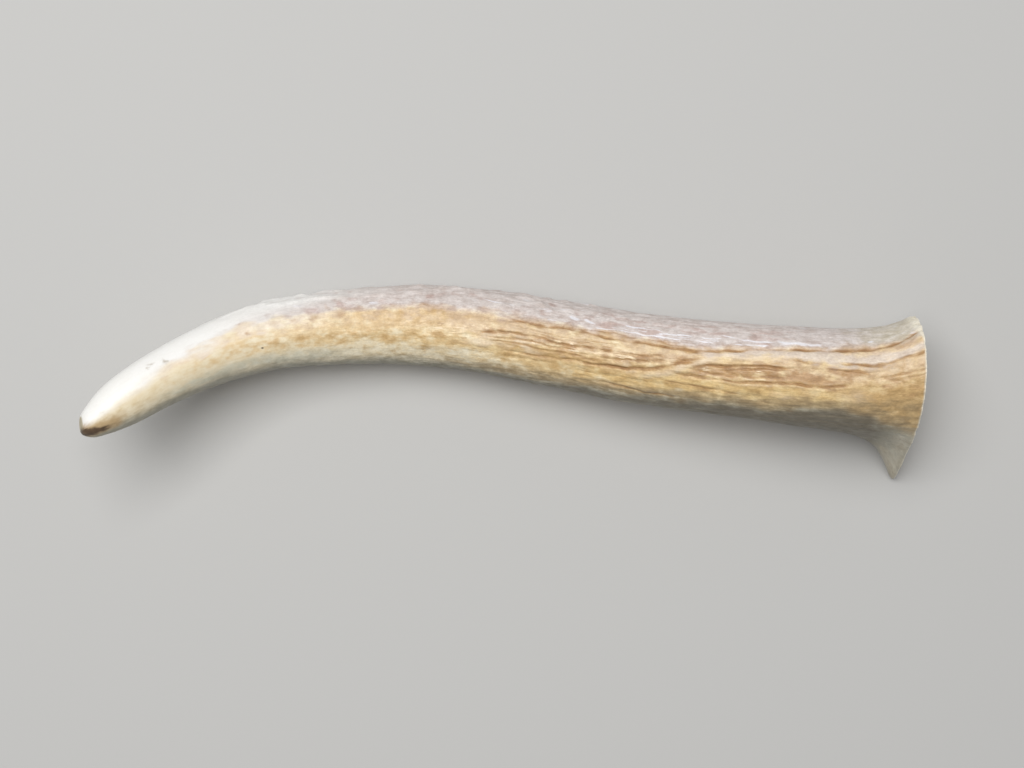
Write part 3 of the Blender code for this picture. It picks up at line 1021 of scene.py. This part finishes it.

# %% [markdown]
# ## Scratches, specks and the tip
#
# The bleached side carries bright scratches where it was rubbed, and the same map paints bright
# highlights there. A few dark specks and the brown smear under the tip are dirt that stayed. The
# tip's flat is a window into denser, glassy bone, and the flare's rim is chipped down to clean pale
# bone. The beds of the drawn furrows and the sharpest creases share one last map, because both hold
# the same dark brown dirt.

# %% Small marks
SCRATCHES_AND_HIGHLIGHTS = [  # places, half width, strength
    ([(145, 61.5), (152, 60.5), (159, 60)], 0.16, 0.9), ([(149, 57), (155, 57), (160, 56)], 0.16, 0.7),
    ([(154, 52), (160, 52), (165, 52)], 0.22, 0.8), ([(157, 61), (168, 60), (179, 60)], 0.18, 0.9),
    ([(164, 55), (172, 54), (181, 54)], 0.24, 1.0), ([(168, 57.5), (174, 57), (181, 57.5)], 0.16, 0.8),
    ([(180, 48), (182, 49), (185, 51)], 0.28, 0.8), ([(182, 60), (188, 59.5), (193, 58)], 0.22, 0.8),
    ([(185, 52), (190, 53), (197, 53)], 0.42, 0.9), ([(194, 50.5), (199, 52), (206, 53)], 0.55, 1.0),
    ([(202, 48), (206, 48), (210, 48)], 0.22, 0.6), ([(217, 46), (219, 44.5), (222, 43)], 0.45, 0.8),
    ([(222, 44), (225, 41), (228, 39)], 0.2, 0.6), ([(115, 42), (118, 45), (121, 48)], 0.22, 0.9),
    ([(117, 46), (119, 48), (121, 50)], 0.2, 0.8), ([(121, 45), (123, 48), (124, 50)], 0.32, 0.8),
    ([(128, 45), (130, 45.5), (132, 45)], 0.24, 0.6), ([(135, 41), (137, 40), (139, 38)], 0.45, 0.9),
    ([(138, 50), (140, 52), (142, 53)], 0.55, 1.0), ([(142, 52), (144, 53.5), (146, 54)], 0.45, 0.9),
    ([(140, 35), (144, 34), (149, 37)], 0.18, 0.7), ([(132, 62), (136, 60), (140, 58)], 0.28, 0.6),
    ([(111, 44), (112, 46), (114, 47)], 0.2, 0.5), ([(157, 49), (158.5, 50), (160, 49)], 0.5, 0.6),
    ([(63, 47), (65, 48), (67, 47)], 0.7, 0.7), ([(84, 58), (86, 57), (88, 56)], 0.6, 0.7),
]
SPECK_LONG, SPECK_WIDE = 0.42, 0.36
SPECKS = [(53, 111), (131, 215), (196, 262), (143, 20), (217, 152)]
SMUDGE_SPOTS = [
    (22.8, 60, 0.5, 1.0, 0.7), (24.2, 57.5, 0.9, 0.4, 0.6), (23.6, 63, 0.7, 0.4, 0.4),
    (26.6, 68, 0.8, 0.7, 0.8), (28.0, 68.5, 0.5, 0.7, 0.7), (27.0, 77, 0.9, 1.2, 0.4),
    (7, 87, 0.8, 0.6, 0.3),
]
BROWN_SMEAR = [(-5, 100), (0.6, 119), (1.6, 126), (3.3, 133), (5.1, 138), (8.5, 141)]
TAN_SMEAR = [(-1.5, 107), (1.0, 114), (2.2, 121), (4, 127), (7, 131), (11, 132)]
TAN_SPOTS = [(10, 125, 4.5, 2.2, 0.50), (16, 128, 5.0, 2.0, 0.36), (25, 134, 7.0, 1.2, 0.22)]

# Bright scratches on the bleached side, partly painted highlights.
scratch_and_highlight = strongest(*(strength * stroke(path, width, 1.6) for path, width, strength in SCRATCHES_AND_HIGHLIGHTS))
stray = rise(0.55, 1.05, streak + 0.6 * small_cloud) * upper * rise(84, 126, S)
scratch_and_highlight = limited(scratch_and_highlight * rise(-1.3, -0.2, small_cloud + streak) + 0.50 * stray)
speck = strongest(*(
    bell(S - at, SPECK_LONG) * bell(np.radians(off_from(bearing)) * reach, SPECK_WIDE)
    for at, bearing in SPECKS
))
smudge = dabs(SMUDGE_SPOTS)
tip_brown = stroke(BROWN_SMEAR, np.clip(1.4 - 0.08 * S, 0.6, 1.4), 4.2) * (1.15 + 0.6 * fleck)
tip_brown = tip_brown * (1 - 0.5 * rise(2.5, 7.0, S))
tip_tan = strongest(stroke(TAN_SMEAR, 2.4, 3.0), dabs(TAN_SPOTS))
tip_olive = rise(-0.35, 0.25, worn_away)
rim_pale = bell(TO_CUT, 0.35 + 2.1 * side_of(-2, 44, 14))
crease = limited(crease_dark * creasing * by_band(0.70, 0.22, 0.30, 0.60) * (0.75 + 0.5 * cloud))
furrow = limited(strongest(furrow_stain, 0.62 * crease))
print("mean furrow", round(furrow.mean(), 3), "scratch_and_highlight", round(scratch_and_highlight.mean(), 4))

# %% [markdown]
# ## The maps on the mesh
#
# The maps are stored on the mesh as attributes, one number for each vertex, where the material can
# read them by name. A last attribute holds the place of each vertex on the antler as if it were
# pulled straight: its distance along, and its bearing as a circle of the shaft's radius. A grain
# drawn on that runs along the bend and fans out on the flare, and it has no join.

# %% Attributes
def on_vertices(field):
    """The field on every vertex: the bark rings, 0 on the sawn face, the tip and the middle."""
    return np.concatenate([
        field[1:].ravel(), np.zeros(FACE_RINGS * COLUMNS), [field[0].mean(), 0],
    ]).astype(np.float32)


STAINS = {
    "gold": gold, "tan": tan, "honey": honey, "sunny": sunny, "ochre": ochre, "rust": rust,
    "weathered": weathered, "pinkish": pinkish, "blush": blush, "purple": purple,
    "ivory": ivory, "polish": polish, "cool_shade": cool_shade, "shaded": shaded, "grime_and_shade": grime_and_shade,
    "olive": olive, "flare_pale": flare_pale, "milky": milky, "pale_and_highlight": pale_and_highlight, "glint": glint,
    "scratch_and_highlight": scratch_and_highlight, "speck": speck, "smudge": smudge, "tip_brown": tip_brown,
    "tip_tan": tip_tan, "tip_olive": tip_olive, "rim_pale": rim_pale, "furrow": furrow,
}
for name, field in STAINS.items():
    layer = mesh.attributes.new(name, "FLOAT", "POINT")
    layer.data.foreach_set("value", on_vertices(field))

circle = radius[:, None, None] * np.stack([np.cos(np.radians(B)), np.sin(np.radians(B))], axis=-1)
straight = np.concatenate([S[..., None], circle], axis=-1)
straight_all = np.concatenate([
    straight[1:].reshape(-1, 3), face.reshape(-1, 3) + [LENGTH, 0, 0],
    [straight[0].mean(axis=0)], [middle_point + [LENGTH, 0, 0]],
]).astype(np.float32)
layer = mesh.attributes.new("straight", "FLOAT_VECTOR", "POINT")
layer.data.foreach_set("vector", straight_all.ravel())
print("attributes", len(mesh.attributes))

# %% [markdown]
# ## Bone grain, for both materials
#
# Bark and saw cut are the same bone, so they share one group of nodes. It turns a place into four
# numbers: streaks drawn out along the growth, soft mottling, a fine pepper, and a height for the
# bump. Each material gives it its own lengths. One group keeps the two in step and is built only once.

# %% Node helpers
def feed(tree, socket, value):
    """Link an output into a socket, or set a plain value on it."""
    if isinstance(value, bpy.types.NodeSocket):
        tree.links.new(value, socket)
    elif isinstance(value, tuple) and len(value) == 3 and socket.type == "RGBA":
        socket.default_value = (*value, 1)
    else:
        socket.default_value = value


def blend(tree, amount, under, over):
    """A colour that is `under` where amount is 0 and `over` where it is 1."""
    mix = tree.nodes.new("ShaderNodeMix")
    mix.data_type = "RGBA"
    for socket, value in zip((mix.inputs[0], mix.inputs[6], mix.inputs[7]), (amount, under, over)):
        feed(tree, socket, value)
    return mix.outputs[2]


def calc(tree, how, first, second=0.0, third=0.0, held=False):
    """One sum on numbers, such as MULTIPLY or ADD, held between 0 and 1 if asked."""
    maths = tree.nodes.new("ShaderNodeMath")
    maths.operation, maths.use_clamp = how, held
    for socket, value in zip(maths.inputs, (first, second, third)):
        feed(tree, socket, value)
    return maths.outputs[0]


def times_plus(tree, value, times, plus, held=False):
    """A number times one value plus another, held between 0 and 1 if asked."""
    return calc(tree, "MULTIPLY_ADD", value, times, plus, held)


def vector_calc(tree, how, first, second=None):
    """One sum on vectors, such as DIVIDE, or the LENGTH of one, which is a number."""
    maths = tree.nodes.new("ShaderNodeVectorMath")
    maths.operation = how
    feed(tree, maths.inputs[0], first)
    if second is not None:
        feed(tree, maths.inputs["Scale" if how == "SCALE" else 1], second)
    return maths.outputs["Value" if how == "LENGTH" else "Vector"]


def ramp(tree, value, low, high, top=1.0, smooth=False):
    """0 where the value is at or before low and top from high on, straight or eased between."""
    node = tree.nodes.new("ShaderNodeMapRange")
    node.interpolation_type = "SMOOTHSTEP" if smooth else "LINEAR"
    for name, amount in (("Value", value), ("From Min", low), ("From Max", high), ("To Max", top)):
        feed(tree, node.inputs[name], amount)
    return node.outputs["Result"]


def stretched_noise(tree, place, lengths, detail, roughness=0.55):
    """Blender's noise in cells of these lengths along the three axes of a place."""
    noise = tree.nodes.new("ShaderNodeTexNoise")
    noise.inputs["Scale"].default_value = 1.0
    noise.inputs["Detail"].default_value = detail
    noise.inputs["Roughness"].default_value = roughness
    feed(tree, noise.inputs["Vector"], vector_calc(tree, "DIVIDE", place, lengths))
    return noise.outputs["Fac"]


# %% Grain group
GRAIN_INPUTS = ("Place", "Streak Lengths", "Mottle Lengths", "Fine Lengths")
grain = bpy.data.node_groups.new("bone_grain", "ShaderNodeTree")
for name in GRAIN_INPUTS:
    grain.interface.new_socket(name, in_out="INPUT", socket_type="NodeSocketVector")
for name in ("Streak", "Mottle", "Fine", "Height"):
    grain.interface.new_socket(name, in_out="OUTPUT", socket_type="NodeSocketFloat")
entry, leave = grain.nodes.new("NodeGroupInput"), grain.nodes.new("NodeGroupOutput")
streaks = stretched_noise(grain, entry.outputs["Place"], entry.outputs["Streak Lengths"], 4.0)
mottles = stretched_noise(grain, entry.outputs["Place"], entry.outputs["Mottle Lengths"], 4.0, 0.62)
fine = stretched_noise(grain, entry.outputs["Place"], entry.outputs["Fine Lengths"], 3.0, 0.6)
height = times_plus(grain, fine, 0.35, calc(grain, "MULTIPLY", mottles, 0.6))
height = times_plus(grain, streaks, 0.35, height)
for name, value in (("Streak", streaks), ("Mottle", mottles), ("Fine", fine), ("Height", height)):
    feed(grain, leave.inputs[name], value)


def add_grain(tree, *values):
    """The group placed in a material's tree, with its place and its three sets of lengths."""
    node = tree.nodes.new("ShaderNodeGroup")
    node.node_tree = grain
    for name, value in zip(GRAIN_INPUTS, values):
        feed(tree, node.inputs[name], value)
    return node.outputs


def finish_bone(material, colour, roughness, height, strength, depth):
    """Join a colour, a roughness and a bump this strong and deep to the material's shader."""
    tree = material.node_tree
    bump = tree.nodes.new("ShaderNodeBump")
    bump.inputs["Strength"].default_value = strength
    bump.inputs["Distance"].default_value = depth
    feed(tree, bump.inputs["Height"], height)
    sockets = shader_of(material).inputs
    feed(tree, sockets["Base Color"], colour)
    feed(tree, sockets["Roughness"], roughness)
    feed(tree, sockets["Normal"], bump.outputs["Normal"])


print("grain group has", len(grain.nodes), "nodes")

# %% [markdown]
# ## The bark's finish
#
# The bone is painted in layers over plain cream: the broad bands first, then dirt, painted shade
# and pale crests, and the smallest marks last, among them glints that are painted highlights. A map
# that came straight from the vertices would end in a clean soft edge, so the streaks and the
# mottling are first added to it and it is made steeper. That gives each stain a ragged edge that
# is finer than the mesh. Bone has a satin sheen: bright on the polished tip and on the crests, dull
# on the bleached side and in the furrows.

# %% Colours of the bark
CREAM = (0.89, 0.80, 0.61)
CREAM_DEEP = (0.77, 0.635, 0.41)

LAYERS = [  # map, raggedness, where it starts, where it is full, strength, colours
    ("gold", 0.55, 0.05, 0.95, 0.95, ((0.82, 0.635, 0.355), (0.68, 0.475, 0.23))),
    ("tan", 0.6, 0.05, 1.10, 0.88, ((0.71, 0.54, 0.375), (0.55, 0.39, 0.245))),
    ("honey", 0.5, 0.00, 1.10, 0.80, ((0.80, 0.60, 0.33), (0.68, 0.48, 0.25))),
    ("sunny", 0.5, 0.10, 0.90, 0.80, ((0.82, 0.60, 0.28), (0.70, 0.47, 0.20))),
    ("weathered", 0.5, 0.08, 0.90, 0.96, ((0.73, 0.67, 0.655), (0.54, 0.465, 0.44))),
    ("ivory", 0.3, 0.00, 0.90, 0.97, ((0.93, 0.93, 0.92), (0.90, 0.895, 0.87))),
    ("pinkish", 0.8, 0.10, 0.95, 0.72, ((0.66, 0.51, 0.42), (0.50, 0.365, 0.29))),
    ("blush", 0.7, 0.08, 1.00, 0.80, ((0.86, 0.775, 0.685), (0.74, 0.62, 0.50))),
    ("purple", 0.8, 0.10, 0.90, 0.80, ((0.60, 0.46, 0.42), (0.48, 0.355, 0.32))),
    # Painted shade: this layer and the next tint and darken the lower side.
    ("cool_shade", 0.3, 0.00, 1.00, 0.85, ((0.70, 0.685, 0.565), (0.61, 0.575, 0.44))),
    ("shaded", 0.5, 0.05, 1.00, 0.92, ((0.385, 0.375, 0.305), (0.29, 0.275, 0.21))),
    ("ochre", 0.4, 0.08, 1.10, 0.86, ((0.60, 0.385, 0.16), (0.46, 0.285, 0.11))),
    ("rust", 0.7, 0.10, 1.05, 0.88, ((0.52, 0.305, 0.135), (0.385, 0.22, 0.10))),
    ("olive", 0.55, 0.05, 1.00, 0.84, ((0.50, 0.375, 0.205), (0.35, 0.25, 0.135))),
    # Grime, partly painted shade.
    ("grime_and_shade", 0.30, 0.00, 1.00, 0.92, ((0.22, 0.187, 0.137), (0.17, 0.146, 0.105))),
    ("flare_pale", 0.7, 0.10, 0.95, 0.85, ((0.68, 0.635, 0.52), (0.53, 0.475, 0.365))),
    # Pale crests, partly painted highlights.
    ("pale_and_highlight", 0.6, 0.08, 1.05, 0.84, ((0.86, 0.72, 0.53), (0.74, 0.585, 0.40))),
    ("milky", 1.0, 0.12, 1.00, 0.82, ((0.80, 0.715, 0.635), (0.66, 0.56, 0.48))),
    ("tip_tan", 0.5, 0.10, 0.95, 0.85, ((0.54, 0.37, 0.18), (0.44, 0.30, 0.15))),
    ("furrow", 0.45, 0.06, 0.95, 0.90, ((0.39, 0.215, 0.085), (0.29, 0.15, 0.06))),
    # Painted highlights.
    ("glint", 1.1, 0.62, 1.00, 0.90, ((0.95, 0.80, 0.60), (0.93, 0.74, 0.48))),
    # Bright scratches, partly painted highlights.
    ("scratch_and_highlight", 0.6, 0.25, 0.85, 0.90, ((0.90, 0.89, 0.94), (0.83, 0.82, 0.86))),
    ("smudge", 0.5, 0.15, 0.80, 0.70, ((0.42, 0.35, 0.26), (0.34, 0.28, 0.20))),
    ("speck", 0.1, 0.30, 0.80, 0.90, ((0.10, 0.08, 0.045), (0.10, 0.06, 0.035))),
    ("tip_olive", 0.4, 0.15, 0.95, 0.85, ((0.50, 0.42, 0.25), (0.40, 0.33, 0.19))),
    ("tip_brown", 0.7, 0.05, 0.90, 0.95, ((0.11, 0.065, 0.038), (0.07, 0.043, 0.025))),
    ("rim_pale", 0.5, 0.05, 0.80, 0.90, ((0.90, 0.86, 0.745), (0.77, 0.71, 0.575))),
]

print("layers on the cream", len(LAYERS))

# %% Bark material
STREAKY = {"glint", "scratch_and_highlight", "furrow"}
POLISHED_AWAY = 0.78
GATE = 6.0
DULLNESS = 0.50
DULLER_BY = {"weathered": 0.06, "furrow": 0.14, "polish": -0.08, "glint": -0.16}
BONE_IOR = 1.54

bark_material = new_material("antler_bark")
bark_tree = bark_material.node_tree


def attribute(name, kind="Fac"):
    node = bark_tree.nodes.new("ShaderNodeAttribute")
    node.attribute_name = name
    return node.outputs[kind]


def ragged(name, noise, raggedness, low, high, strength):
    """A stain's map with a ragged edge.

    The noise times the raggedness is added to the map, and the sum is made steeper: 0 under low
    and the full strength over high. A gate of six times the map, held at 1, multiplies the result,
    so that noise by itself never paints where the map is empty.
    """
    amount = attribute(name)
    edge = times_plus(bark_tree, noise, raggedness, amount)
    steep = ramp(bark_tree, edge, low, high, strength, smooth=True)
    return calc(bark_tree, "MULTIPLY", steep, calc(bark_tree, "MULTIPLY", amount, GATE, held=True))


straight_place = attribute("straight", "Vector")
bark_grain = add_grain(
    bark_tree, straight_place, (3.2, 0.60, 0.60), (3.0, 1.9, 1.9), (0.75, 0.45, 0.45)
)
unpolished = times_plus(bark_tree, attribute("polish"), -POLISHED_AWAY, 1.0)
blotch = times_plus(bark_tree, bark_grain["Streak"], 0.6, -1.05)
blotch = times_plus(bark_tree, bark_grain["Mottle"], 1.5, blotch)
blotch = calc(bark_tree, "MULTIPLY", blotch, times_plus(bark_tree, unpolished, 0.45, 0.55))
hairs = times_plus(bark_tree, bark_grain["Streak"], 2.4, -1.2)
hairs = calc(bark_tree, "MULTIPLY", hairs, unpolished)
light_and_dark = times_plus(bark_tree, blotch, 2.2, 0.5, held=True)

colour = blend(bark_tree, light_and_dark, CREAM, CREAM_DEEP)
for name, raggedness, low, high, strength, (light, dark) in LAYERS:
    paint = blend(bark_tree, light_and_dark, light, dark)
    noise = hairs if name in STREAKY else blotch
    colour = blend(bark_tree, ragged(name, noise, raggedness, low, high, strength), colour, paint)
pepper = times_plus(bark_tree, bark_grain["Fine"], 0.55, -0.275)
colour = vector_calc(bark_tree, "SCALE", colour, times_plus(bark_tree, pepper, unpolished, 1.0))

dull = DULLNESS
for name, change in DULLER_BY.items():
    dull = times_plus(bark_tree, attribute(name), change, dull)
dull = times_plus(bark_tree, blotch, 0.24, dull)
bark_height = calc(bark_tree, "MULTIPLY", bark_grain["Height"], unpolished)
finish_bone(bark_material, colour, dull, bark_height, strength=0.9, depth=0.28 * MM)
shader_of(bark_material).inputs["IOR"].default_value = BONE_IOR
print("bark material has", len(bark_tree.nodes), "nodes")

# %% [markdown]
# ## The sawn face's finish
#
# Sawn bone is paler and drier than the bark. Towards the outside it is dense and almost even in
# colour, towards the middle it is open and took up dirt, so pores show there as brown dots. The
# distance from the middle of the cut decides how much: a map made from object coordinates.

# %% Sawn face material
SAWN_PALE = (0.80, 0.705, 0.545)
SAWN_DEEP = (0.65, 0.51, 0.35)
PORE_BROWN = (0.25, 0.16, 0.09)

OPEN_BONE_EDGE, OPEN_BONE_FULL = 15.0, 6.0
PORES_PER_MM = 1.05
PORE_EDGE, PORE_FULL = 0.38, 0.20

sawn_material = new_material("antler_sawn_bone")
sawn_tree = sawn_material.node_tree
coordinates = sawn_tree.nodes.new("ShaderNodeTexCoord").outputs["Object"]
from_middle = vector_calc(sawn_tree, "SUBTRACT", coordinates, tuple(face_centre * MM))
in_mm = vector_calc(sawn_tree, "SCALE", from_middle, 1 / MM)
distance = vector_calc(sawn_tree, "LENGTH", in_mm)
open_bone = ramp(sawn_tree, distance, OPEN_BONE_EDGE, OPEN_BONE_FULL, smooth=True)
sawn_grain = add_grain(sawn_tree, in_mm, (2.0, 0.5, 5.0), (3.0, 3.0, 3.0), (0.5, 0.45, 0.45))

pores = sawn_tree.nodes.new("ShaderNodeTexVoronoi")
pores.feature = "F1"
pores.inputs["Scale"].default_value = PORES_PER_MM
feed(sawn_tree, pores.inputs["Vector"], in_mm)
pore_mask = ramp(sawn_tree, pores.outputs["Distance"], PORE_EDGE, PORE_FULL)
pore_amount = calc(sawn_tree, "MULTIPLY", pore_mask, open_bone)

sawn_blotch = calc(sawn_tree, "ADD", sawn_grain["Streak"], sawn_grain["Mottle"])
sawn_blotch = calc(sawn_tree, "SUBTRACT", sawn_blotch, 1.0)
sawn_tone = times_plus(sawn_tree, sawn_blotch, 1.4, 0.25)
sawn_tone = times_plus(sawn_tree, open_bone, 0.55, sawn_tone, held=True)
sawn_colour = blend(sawn_tree, sawn_tone, SAWN_PALE, SAWN_DEEP)
sawn_colour = blend(sawn_tree, calc(sawn_tree, "MULTIPLY", pore_amount, 0.8), sawn_colour, PORE_BROWN)
sawn_dull = times_plus(sawn_tree, sawn_blotch, 0.2, 0.62)
sawn_height = calc(sawn_tree, "SUBTRACT", sawn_grain["Height"], pore_amount)
finish_bone(sawn_material, sawn_colour, sawn_dull, sawn_height, strength=0.6, depth=0.15 * MM)
print("sawn material has", len(sawn_tree.nodes), "nodes")

# %% [markdown]
# ## Putting the skin on the frame
#
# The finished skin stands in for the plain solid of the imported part. It rides on the part's only
# body, because the antler is a single bone and nothing on it moves.

# %% Hand over
for material in (bark_material, sawn_material):
    mesh.materials.append(material)
mesh.polygons.foreach_set("material_index", slot_of)
mesh.update()
antler_skin = bpy.data.objects.new("antler_skin", mesh)
bpy.context.scene.collection.objects.link(antler_skin)
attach(antler_skin, "root")
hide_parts("antler")
print("skin of", len(mesh.vertices), "points in place of the antler node")
